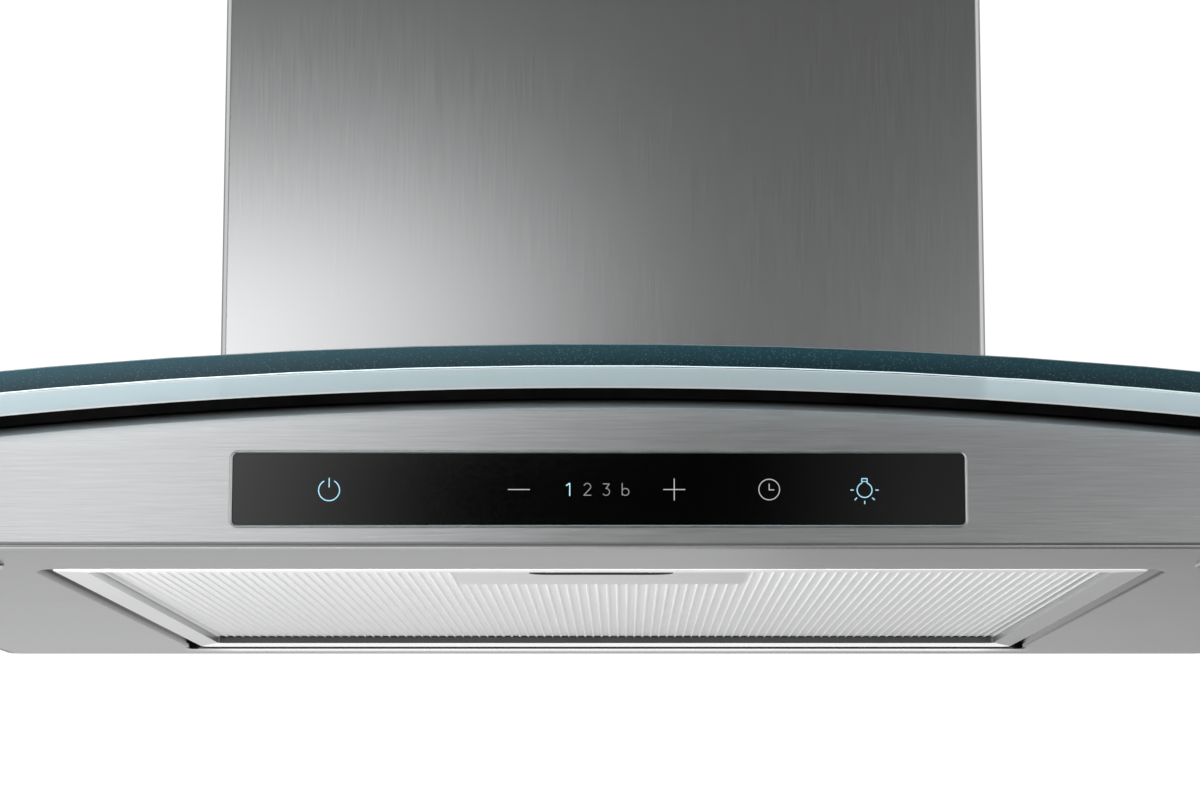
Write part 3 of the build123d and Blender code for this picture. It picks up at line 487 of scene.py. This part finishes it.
def mesh_metal():
    """Bright aluminium of the ribbed filter sheet, with painted shade in the valleys between ribs."""
    m = Mat("filter_ribbed_aluminium")
    m.set(Metallic=0.2, Specular_IOR_Level=0.5)
    z = m.xyz()[2]
    valley_shade = m.rng(z, 0.00268 - Z0, 0.00304 - Z0, 0.0, 1.0, smooth=True)
    sp = m.voronoi(m.map((1500, 900, 1500)), 1.0)
    dots = m.rng(sp, 0.10, 0.40, 0.0, 1.0)
    n = m.noise(m.map((700, 240, 700)), 1.0, 3.0, 0.6)
    v = m.math("ADD", m.math("MULTIPLY", dots, 0.5), m.math("MULTIPLY", n, 0.5))
    crest = m.mix(m.rng(v, 0.2, 0.8, 0, 1), (0.86, 0.865, 0.87), (0.97, 0.97, 0.97))
    m.color(m.mix(m.math("MULTIPLY", valley_shade, 0.45), crest, (0.68, 0.685, 0.69)))
    m.rough(m.rng(n, 0.3, 0.7, 0.34, 0.46))
    m.bump(v, 0.10, 0.0001)
    return m


MAT["mesh"] = mesh_metal()

# ------------------------------------------------------- materials on the CAD nodes
USE = {
    "chimney": ["lower_chimney", "upper_chimney"],
    "fascia": ["front_fascia"],
    "shell": ["body_shell"],
    "under": ["bottom_panel"],
    "galv": ["top_panel", "blower_chassis", "chassis_feet", "chassis_top", "panel_brackets", "motor_bracket",
             "chimney_bracket", "impeller", "impeller_blades"],
    "rubber": ["pivot_seats", "glass_gasket", "glass_pads", "outlet_seal", "blower_grommets"],
    "black": ["control_housing", "handle_housing", "filter_pivots", "inlet_grille",
              "outlet_collar", "collar_flange", "cable_gland", "filter_latch"],
    "grey": ["damper_flap_left", "damper_flap_right", "electronics_box", "electronics_lid"],
    "scroll": ["scroll_left", "scroll_right"],
    "white": ["motor_capacitor"],
    "zinc": ["body_screws", "glass_clamp_bolts", "blower_screws", "upper_chimney_screws"],
    "spring": ["latch_springs", "motor_shaft", "flap_pins"],
    "bezel": ["control_bezel"],
    "control": ["control_glass"],
    "pcb": ["touch_board", "power_board"],
    "pcb_white": ["lamp_board_left", "lamp_board_right"],
    "frame_al": ["filter_frame", "handle_plate"],
    "mesh": ["filter_mesh", "filter_back_mesh", "filter_core"],
    "lamp_rim": ["lamp_bezel_left", "lamp_bezel_right"],
    "lamp_cast": ["lamp_housing_left", "lamp_housing_right"],
    "lens": ["lamp_lens_left", "lamp_lens_right"],
    "motor": ["motor_body"],
}
for key, names in USE.items():
    for n in names:
        o = N[n]
        o.data.materials.clear()
        o.data.materials.append(MAT[key].m)

# Painted shade on the walls that look into the gap round the filter and on the rear wall of its window; the other walls
# of its window in their own material; painted highlights on the rear and front borders.
fr = N["filter_frame"]
fr.data.materials.append(MAT["frame_wall"].m)
fr.data.materials.append(MAT["frame_gap"].m)
fr.data.materials.append(MAT["frame_bright"].m)
fr.data.materials.append(MAT["frame_front"].m)
for poly in fr.data.polygons:
    c, nrm = poly.center, poly.normal
    if nrm.z < -0.5 and c.y > -0.0605:
        poly.material_index = 3
    if nrm.z < -0.5 and c.y < -0.3725:
        poly.material_index = 4
    if abs(nrm.z) > 0.5:
        continue
    if abs(c.x) < 0.1525 and c.y < -0.0615 and c.y > -0.3725 and c.z < 0.0026 - Z0:
        poly.material_index = 1
    elif c.z > 0.0011 - Z0:
        poly.material_index = 2
    if nrm.y < -0.7 and c.y > -0.0625 and c.y < -0.060:
        poly.material_index = 2
hp = N["handle_plate"]
hp.data.materials.append(MAT["frame_gap"].m)
hp_lo, hp_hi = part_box("handle_plate")
# painted shade: the walls of the handle's finger slot get the near-black material
for poly in hp.data.polygons:
    c = poly.center
    if abs(poly.normal.z) < 0.6 and hp_lo.x + 0.004 < c.x < hp_hi.x - 0.004 and hp_lo.y + 0.002 < c.y < hp_hi.y - 0.002:
        poly.material_index = 1
cg = N["control_glass"]
cg.data.materials.append(MAT["control_rim"].m)
for poly in cg.data.polygons:
    if abs(poly.normal.y) < 0.95:
        poly.material_index = 1
# painted shade: the inner walls of the opening's collar get the near-black material
pn = N["bottom_panel"]
pn.data.materials.append(MAT["collar_dark"].m)
for poly in pn.data.polygons:
    c = poly.center
    if c.z > 0.0022 - Z0 and abs(c.x) < 0.1675 and -0.3865 < c.y < -0.033:
        poly.material_index = 1

# The canopy: clear faces, ground edge, and the fine arris between them, painted pale as a highlight.
g = N["glass_canopy"]
g.data.materials.clear()
for k in ("glass", "edge", "arris_highlight"):
    g.data.materials.append(MAT[k].m)
for poly in g.data.polygons:
    nz = abs(poly.normal.z)
    poly.material_index = 0 if nz > 0.93 else (1 if nz < 0.40 else 2)


# ------------------------------------------------------------------- new pieces
def mesh_object(name, bm, mat, body, smooth=False):
    me = bpy.data.meshes.new(name)
    bm.to_mesh(me)
    bm.free()
    if smooth:
        for p in me.polygons:
            p.use_smooth = True
    o = bpy.data.objects.new(name, me)
    bpy.context.scene.collection.objects.link(o)
    me.materials.append(mat.m)
    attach(o, body)
    return o


def ribbed_sheet(name, z0, amp, thick, pitch, bead, x_half, y0, y1, cut=None):
    """Sheet with narrow raised ribs, bead wide each side, running front to back; cut is the half width and rear edge of the handle's notch."""
    bm = bmesh.new()
    n_rib = int(2 * x_half / pitch)
    steps = [-1.0, -0.8, -0.6, -0.4, -0.2, 0.0, 0.2, 0.4, 0.6, 0.8, 1.0]
    xs = [-n_rib * pitch / 2]
    for i in range(n_rib):
        xs += [-n_rib * pitch / 2 + (i + 0.5) * pitch + k * bead for k in steps]
    xs.append(n_rib * pitch / 2)
    shift = (0.5 * n_rib) % 1.0
    rows = [y0, cut[1], y1]

    def h(x):
        d = abs((x / pitch + shift) % 1.0 - 0.5) * pitch
        return amp * (1.0 - (0.5 + 0.5 * math.cos(math.pi * min(1.0, d / bead))))

    low = [[bm.verts.new(mm(x, y, z0 + h(x))) for x in xs] for y in rows]
    top = [[bm.verts.new(mm(x, y, z0 + h(x) + thick)) for x in xs] for y in rows]
    cells = set()
    for r in range(2):
        for c in range(len(xs) - 1):
            if r == 0 and abs((xs[c] + xs[c + 1]) / 2) < cut[0]:
                continue
            cells.add((r, c))
    for r, c in cells:
        bm.faces.new((low[r][c], low[r + 1][c], low[r + 1][c + 1], low[r][c + 1]))
        bm.faces.new((top[r][c], top[r][c + 1], top[r + 1][c + 1], top[r + 1][c]))
        for (dr, dc), (a, b) in {(-1, 0): ((r, c), (r, c + 1)), (1, 0): ((r + 1, c), (r + 1, c + 1)),
                                 (0, -1): ((r, c), (r + 1, c)), (0, 1): ((r, c + 1), (r + 1, c + 1))}.items():
            if (r + dr, c + dc) not in cells:
                bm.faces.new((low[a[0]][a[1]], low[b[0]][b[1]], top[b[0]][b[1]], top[a[0]][a[1]]))
    for v in [v for v in bm.verts if not v.link_faces]:
        bm.verts.remove(v)
    bmesh.ops.recalc_face_normals(bm, faces=bm.faces)
    o = mesh_object(name, bm, MAT["mesh"], "grease_filter", smooth=True)
    mod = o.modifiers.new("edges", "EDGE_SPLIT")
    mod.split_angle = math.radians(60)
    return o


mesh_front = ribbed_sheet("filter_mesh_ribbed", 2.62, 0.45, 0.35, 3.2, 0.60, 157.0, -377.0, -57.0, cut=(44.6, -303.8))
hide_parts("filter_mesh")

# ---- the latch's two return springs, built at one length; in the hood they shorten as the latch is pulled
def coil_springs(name, radius, wire, length, turns, places, y0, z, seg=18, ring=8):
    """Coil springs along Y, closed at both ends; places are their X in mm."""
    bm = bmesh.new()
    n = int(turns * seg)
    for cx in places:
        rings = []
        for i in range(n + 1):
            a = 2 * math.pi * i / seg
            out = Vector((math.cos(a), 0.0, math.sin(a)))
            c = Vector((cx, y0 + length * i / n, z)) + out * radius
            rings.append([bm.verts.new(mm(*(c + out * (wire * math.cos(t)) + Vector((0, wire * math.sin(t), 0)))))
                          for t in [2 * math.pi * k / ring for k in range(ring)]])
        for a, b in zip(rings, rings[1:]):
            for k in range(ring):
                bm.faces.new((a[k], a[(k + 1) % ring], b[(k + 1) % ring], b[k]))
        bm.faces.new(rings[0])
        bm.faces.new(rings[-1][::-1])
    bmesh.ops.recalc_face_normals(bm, faces=bm.faces)
    return mesh_object(name, bm, MAT["spring"], "grease_filter", smooth=True)


springs = coil_springs("latch_springs_coil", 1.35, 0.22, 11.0, 6, (-16.0, 16.0), -333.7, 5.0)
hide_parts("latch_springs")
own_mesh(springs)

# ---- painted reflection band under the canopy's front overhang, a skin just below the glass
def arch_skin(name, r, thick, half, y0, y1, corner, mat, nx=96, ny=8):
    """Thin skin on the arch between y0 (front) and y1; its front corners follow the canopy's."""
    bm = bmesh.new()
    rows = [y0 + (y1 - y0) * (1 - math.cos(math.pi / 2 * j / ny)) for j in range(ny + 1)]

    def width(y):
        d = corner - (y - y0)
        return half if d <= 0 else half - corner + math.sqrt(max(0.0, corner * corner - d * d))

    low, top = [], []
    for y in rows:
        w = width(y)
        lo_row, top_row = [], []
        for i in range(nx + 1):
            x = -w + 2 * w * i / nx
            for rr, row in ((r - thick, lo_row), (r, top_row)):
                row.append(bm.verts.new(mm(x, y, 44.2 - 1704.0 + math.sqrt(rr * rr - x * x))))
        low.append(lo_row)
        top.append(top_row)
    for j in range(ny):
        for i in range(nx):
            bm.faces.new((low[j][i], low[j + 1][i], low[j + 1][i + 1], low[j][i + 1]))
            bm.faces.new((top[j][i], top[j][i + 1], top[j + 1][i + 1], top[j + 1][i]))
        for i in (0, nx):
            bm.faces.new((low[j][i], low[j + 1][i], top[j + 1][i], top[j][i]))
    for j in (0, ny):
        for i in range(nx):
            bm.faces.new((low[j][i], low[j][i + 1], top[j][i + 1], top[j][i]))
    bmesh.ops.recalc_face_normals(bm, faces=bm.faces)
    return mesh_object(name, bm, mat, "hood_body")


satin = arch_skin("canopy_reflection_band", 1703.76, 0.02, 298.4, -486.3, -449.5, 40.0, MAT["satin"])

# ---- control symbols, printed just proud of the black glass, with painted glow
ICON_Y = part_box("control_glass")[0].y - 0.00004


def flat_ring(bm, cx, cz, r0, r1, a0=0.0, a1=360.0, seg=48):
    full = abs(a1 - a0) >= 359.9
    n = seg if full else max(8, int(seg * (a1 - a0) / 360.0))
    inner, outer = [], []
    cnt = n if full else n + 1
    for i in range(cnt):
        a = math.radians(a0 + (a1 - a0) * i / n)
        inner.append(bm.verts.new((cx + r0 * math.cos(a), 0, cz + r0 * math.sin(a))))
        outer.append(bm.verts.new((cx + r1 * math.cos(a), 0, cz + r1 * math.sin(a))))
    for i in range(n):
        j = (i + 1) % cnt
        bm.faces.new((inner[i], outer[i], outer[j], inner[j]))


def flat_bar(bm, x0, z0, x1, z1, w):
    d = Vector((x1 - x0, 0, z1 - z0)).normalized()
    p = Vector((-d.z, 0, d.x)) * (w / 2)
    a, b = Vector((x0, 0, z0)), Vector((x1, 0, z1))
    bm.faces.new([bm.verts.new(v) for v in (a - p, b - p, b + p, a + p)])


def stroke(bm, pts, w):
    for (xa, za), (xb, zb) in zip(pts, pts[1:]):
        flat_bar(bm, xa, za, xb, zb, w)
    for x, z in pts[1:-1]:
        vs = [bm.verts.new((x + w / 2 * math.cos(t), 0, z + w / 2 * math.sin(t)))
              for t in [2 * math.pi * i / 10 for i in range(10)]]
        bm.faces.new(vs)


def arc_pts(cx, cz, r, a0, a1, n=14, rz=None):
    rz = r if rz is None else rz
    return [(cx + r * math.cos(math.radians(a0 + (a1 - a0) * i / n)),
             cz + rz * math.sin(math.radians(a0 + (a1 - a0) * i / n))) for i in range(n + 1)]


def icon_object(name, bm, mat, px, pz=15.9):
    """px is the symbol's place along the control glass in mm; drawn in mm, 0.04 mm thick."""
    geom = bmesh.ops.extrude_face_region(bm, geom=list(bm.faces))
    vs = [v for v in geom["geom"] if isinstance(v, bmesh.types.BMVert)]
    bmesh.ops.translate(bm, verts=vs, vec=(0, 0.05, 0))
    bmesh.ops.recalc_face_normals(bm, faces=bm.faces)
    for v in bm.verts:
        v.co = Vector(((v.co.x + px) / 1000.0, v.co.y / 1000.0 + ICON_Y, (v.co.z + pz) / 1000.0 - Z0))
    o = mesh_object(name, bm, mat, "hood_body")
    return o


W = 0.29
bm = bmesh.new()
flat_ring(bm, 0, -0.2, 2.72, 2.72 + W, 118, 422)
flat_bar(bm, 0, 0.6, 0, 3.2, W)
icon_object("icon_power", bm, MAT["icon_blue"], -73.5)
bm = bmesh.new()
flat_bar(bm, -3.0, 0, 3.0, 0, 0.25)
icon_object("icon_minus", bm, MAT["icon_grey"], -21.75)
bm = bmesh.new()
stroke(bm, [(-0.75, 1.05), (0.25, 1.72), (0.25, -1.75)], 0.27)
icon_object("icon_speed_1", bm, MAT["icon_lit"], -8.13)
bm = bmesh.new()
stroke(bm, arc_pts(0, 0.78, 0.92, 165, -35, 12) + [(-0.95, -1.55), (1.05, -1.55)], 0.21)
icon_object("icon_speed_2", bm, MAT["icon_dim"], -3.09)
bm = bmesh.new()
stroke(bm, [(-0.9, 1.55), (0.85, 1.55), (-0.1, 0.28)] + arc_pts(-0.05, -0.65, 0.95, 80, -150, 14), 0.21)
icon_object("icon_speed_3", bm, MAT["icon_dim"], 2.08)
bm = bmesh.new()
stroke(bm, [(-0.85, 1.75), (-0.85, -1.6)], 0.21)
flat_ring(bm, 0.05, -0.65, 0.84, 1.05)
icon_object("icon_speed_b", bm, MAT["icon_dim"], 7.26)
bm = bmesh.new()
flat_bar(bm, -3.0, 0, 3.0, 0, 0.25)
flat_bar(bm, 0, 0.125, 0, 3.0, 0.25)
flat_bar(bm, 0, -3.0, 0, -0.125, 0.25)
icon_object("icon_plus", bm, MAT["icon_grey"], 20.6)
bm = bmesh.new()
flat_ring(bm, 0, 0, 2.70, 2.95)
stroke(bm, [(0, 1.6), (0, -0.1), (1.35, -0.1)], 0.26)
icon_object("icon_timer", bm, MAT["icon_grey"], 46.5)
bm = bmesh.new()
flat_ring(bm, 0, -0.15, 1.88, 2.17, 112, 428)
stroke(bm, [(-0.72, 1.72), (-0.72, 3.0), (0.72, 3.0), (0.72, 1.72)], 0.28)
flat_bar(bm, -0.72, 2.2, 0.72, 2.2, 0.22)
for a in (0, 180, 225, 270, 315):
    ca, sa = math.cos(math.radians(a)), math.sin(math.radians(a))
    flat_bar(bm, 2.95 * ca, -0.15 + 2.95 * sa, 3.85 * ca, -0.15 + 3.85 * sa, 0.30)
icon_object("icon_lamp", bm, MAT["icon_blue"], 72.5)

# ------------------------------------------------------------------------ stage
FLOOR_Z = -0.80
bm = bmesh.new()
bmesh.ops.create_grid(bm, x_segments=1, y_segments=1, size=14.0)
me = bpy.data.meshes.new("floor")
bm.to_mesh(me)
bm.free()
floor = bpy.data.objects.new("floor", me)
floor.location = (0, 0, FLOOR_Z)
bpy.context.scene.collection.objects.link(floor)
fm = Mat("floor_pale")
# an even tone of its own, so that the lamps leave no patches on it
fm.set(Base_Color=(0.0, 0.0, 0.0, 1.0), Roughness=1.0, Specular_IOR_Level=0.0, Emission_Color=(1.0, 1.0, 1.0, 1.0), Emission_Strength=0.69)
# seen from below the floor is left open
geo = fm.t.nodes.new("ShaderNodeNewGeometry")
tr = fm.t.nodes.new("ShaderNodeBsdfTransparent")
mx = fm.t.nodes.new("ShaderNodeMixShader")
fm.link(geo.outputs["Backfacing"], mx.inputs[0])
fm.link(fm.p.outputs[0], mx.inputs[1])
fm.link(tr.outputs[0], mx.inputs[2])
fm.link(mx.outputs[0], fm.out.inputs[0])
me.materials.append(fm.m)
floor.visible_glossy = False
floor.visible_diffuse = False
floor.visible_shadow = False

# ------------------------------------------------------------------------ world
world = bpy.data.worlds.new("studio")
bpy.context.scene.world = world
world.use_nodes = True
wt = world.node_tree
wt.nodes.clear()


def wn(kind, **kw):
    n = wt.nodes.new(kind)
    for k, v in kw.items():
        setattr(n, k, v)
    return n


def wmath(op, a, b=None, clamp=False):
    n = wn("ShaderNodeMath", operation=op, use_clamp=clamp)
    for i, v in enumerate((a, b)):
        if v is None:
            continue
        if isinstance(v, (int, float)):
            n.inputs[i].default_value = v
        else:
            wt.links.new(v, n.inputs[i])
    return n.outputs[0]


def wstep(v, a, b):
    n = wn("ShaderNodeMapRange", interpolation_type="SMOOTHSTEP")
    n.inputs[1].default_value = a
    n.inputs[2].default_value = b
    wt.links.new(v, n.inputs[0])
    return n.outputs[0]


tc = wn("ShaderNodeTexCoord")
sep = wn("ShaderNodeSeparateXYZ")
wt.links.new(tc.outputs["Generated"], sep.inputs[0])
DX, DY, DZ = sep.outputs
# azimuth as seen from the object towards the front: 0 straight ahead, negative to the left
az = wmath("ARCTAN2", DX, wmath("MULTIPLY", DY, -1.0))

def deg(v):
    return math.radians(v)


el = wmath("ARCSINE", DZ)


def lobe(azc, elc, k_in, k_out, e_up, e_down, d0, d1, inner):
    """Soft bright area centred on (azc, elc) degrees; inner is the side that faces the middle (+1 or -1)."""
    da = wmath("MULTIPLY", wmath("SUBTRACT", az, deg(azc)), float(inner))
    de = wmath("SUBTRACT", el, deg(elc))
    da = wmath("ADD", wmath("MULTIPLY", wmath("MAXIMUM", da, 0.0), k_in), wmath("MULTIPLY", wmath("MINIMUM", da, 0.0), k_out))
    de = wmath("ADD", wmath("MULTIPLY", wmath("MAXIMUM", de, 0.0), e_up), wmath("MULTIPLY", wmath("MINIMUM", de, 0.0), e_down))
    d = wmath("SQRT", wmath("ADD", wmath("MULTIPLY", da, da), wmath("MULTIPLY", de, de)))
    return wstep(d, deg(d1), deg(d0))


left = lobe(-5.89, 9.02, 1.0, 0.34, 1.82, 0.6, 0.5, 7.45, 1)
right = lobe(14.0, 2.13, 1.0, 0.3, 1.0, 0.6, 0.5, 15.6, -1)
front = wmath("ADD", wmath("ADD", wmath("MULTIPLY", left, 3.08), wmath("MULTIPLY", right, 0.80)), 0.132)
# soft boxes at both sides, and a low one in front on the left
abs_az = wmath("ABSOLUTE", az)
front = wmath("ADD", front, wmath("MULTIPLY", wstep(abs_az, deg(24.0), deg(36.0)), 1.0))
low = wmath("MULTIPLY", wstep(az, deg(8.0), deg(-8.0)), wmath("MULTIPLY", wstep(el, deg(1.0), deg(-6.0)), wstep(el, deg(-75.0), deg(-8.0))))
front = wmath("ADD", front, wmath("MULTIPLY", low, 0.5))
# dark flag round the camera
flag = wmath("MULTIPLY", wmath("MULTIPLY", wstep(az, deg(-12.02), deg(-1.83)), wstep(az, deg(5.55), deg(1.72))),
             wmath("MULTIPLY", wstep(el, deg(3.61), deg(5.61)), wstep(el, deg(9.27), deg(7.27))))
front = wmath("MULTIPLY", front, wmath("SUBTRACT", 1.0, flag))
# behind the object: pale wall at the height of the eye, a white table lower down on the left
side = wmath("MAXIMUM", wmath("MAXIMUM", wstep(DX, 0.06, 0.03), wstep(DX, 0.27, 0.42)), wstep(el, deg(-30.0), deg(-42.0)))
far_left = wmath("MULTIPLY", wstep(DX, 0.06, -0.08), wstep(DX, -0.42, -0.27))
below = wstep(el, deg(-4.0), deg(-12.0))
deep = wmath("MULTIPLY", wstep(el, deg(-18.0), deg(-26.0)), wstep(el, deg(-60.0), deg(-43.0)))
rear = wmath("ADD", wmath("MULTIPLY", wmath("SUBTRACT", 1.0, below), 0.50),
             wmath("MULTIPLY", below, wmath("ADD", 0.01, wmath("MULTIPLY", side, 0.35))))
rear = wmath("ADD", rear, wmath("MULTIPLY", deep, wmath("MULTIPLY", far_left, 1.6)))
# a bright line low on the wall behind
line = wmath("MULTIPLY", wstep(el, deg(-4.5), deg(-3.9)), wstep(el, deg(-2.4), deg(-3.0)))
rear = wmath("ADD", rear, wmath("MULTIPLY", line, wmath("MULTIPLY", wstep(DX, 0.34, 0.10), 0.9)))
level_mix = wstep(DY, -0.10, 0.25)
level = wmath("ADD", wmath("MULTIPLY", front, wmath("SUBTRACT", 1.0, level_mix)), wmath("MULTIPLY", rear, level_mix))
bg_env = wn("ShaderNodeBackground")
bg_env.inputs[0].default_value = (1, 1, 1, 1)
wt.links.new(level, bg_env.inputs[1])
bg_white = wn("ShaderNodeBackground")
bg_white.inputs[0].default_value = (1, 1, 1, 1)
bg_white.inputs[1].default_value = 1.05
# soft fill for matt surfaces, a little stronger from the right and from below
fill = wmath("ADD", 0.185, wmath("ADD", wmath("MULTIPLY", DX, 0.10), wmath("MULTIPLY", DZ, -0.10)))
bg_fill = wn("ShaderNodeBackground")
bg_fill.inputs[0].default_value = (1, 1, 1, 1)
wt.links.new(fill, bg_fill.inputs[1])
lp = wn("ShaderNodeLightPath")
mixd = wn("ShaderNodeMixShader")
wt.links.new(lp.outputs["Is Diffuse Ray"], mixd.inputs[0])
wt.links.new(bg_env.outputs[0], mixd.inputs[1])
wt.links.new(bg_fill.outputs[0], mixd.inputs[2])
seen = wmath("MAXIMUM", lp.outputs["Is Camera Ray"], lp.outputs["Is Transmission Ray"])
mixw = wn("ShaderNodeMixShader")
wt.links.new(seen, mixw.inputs[0])
wt.links.new(mixd.outputs[0], mixw.inputs[1])
wt.links.new(bg_white.outputs[0], mixw.inputs[2])
wo = wn("ShaderNodeOutputWorld")
wt.links.new(mixw.outputs[0], wo.inputs[0])


def area(name, loc, aim, size, power, size_y=None):
    d = bpy.data.lights.new(name, "AREA")
    d.shape = "RECTANGLE"
    d.size = size
    d.size_y = size_y or size
    d.energy = power
    o = bpy.data.objects.new(name, d)
    o.location = loc
    o.rotation_euler = (Vector(aim) - Vector(loc)).to_track_quat("-Z", "Y").to_euler()
    o.visible_glossy = False
    o.visible_camera = False
    o.visible_transmission = False
    bpy.context.scene.collection.objects.link(o)
    return o


area("key_left", (-0.42, -0.72, -0.36), (-0.08, -0.47, -0.16), 0.30, 5.4)
area("under_right", (1.6, -0.8, -0.9), (0.0, -0.25, -0.19), 0.8, 25.0)

bpy.context.scene.view_settings.view_transform = "Standard"
bpy.context.scene.view_settings.look = "None"

# ----------------------------------------------------------------------- camera
cam = bpy.data.cameras.new("camera")
cam.sensor_fit = "HORIZONTAL"
cam.sensor_width = 36.0
cam.lens = 95.66
cam.shift_x = -0.0178
cam.clip_start = 0.01
cam.clip_end = 100
co = bpy.data.objects.new("camera", cam)
co.location = (0.00619, -1.31358, -0.08409 - Z0)
co.rotation_euler = (math.radians(90 + 8.21), 0, 0)
bpy.context.scene.collection.objects.link(co)
bpy.context.scene.camera = co
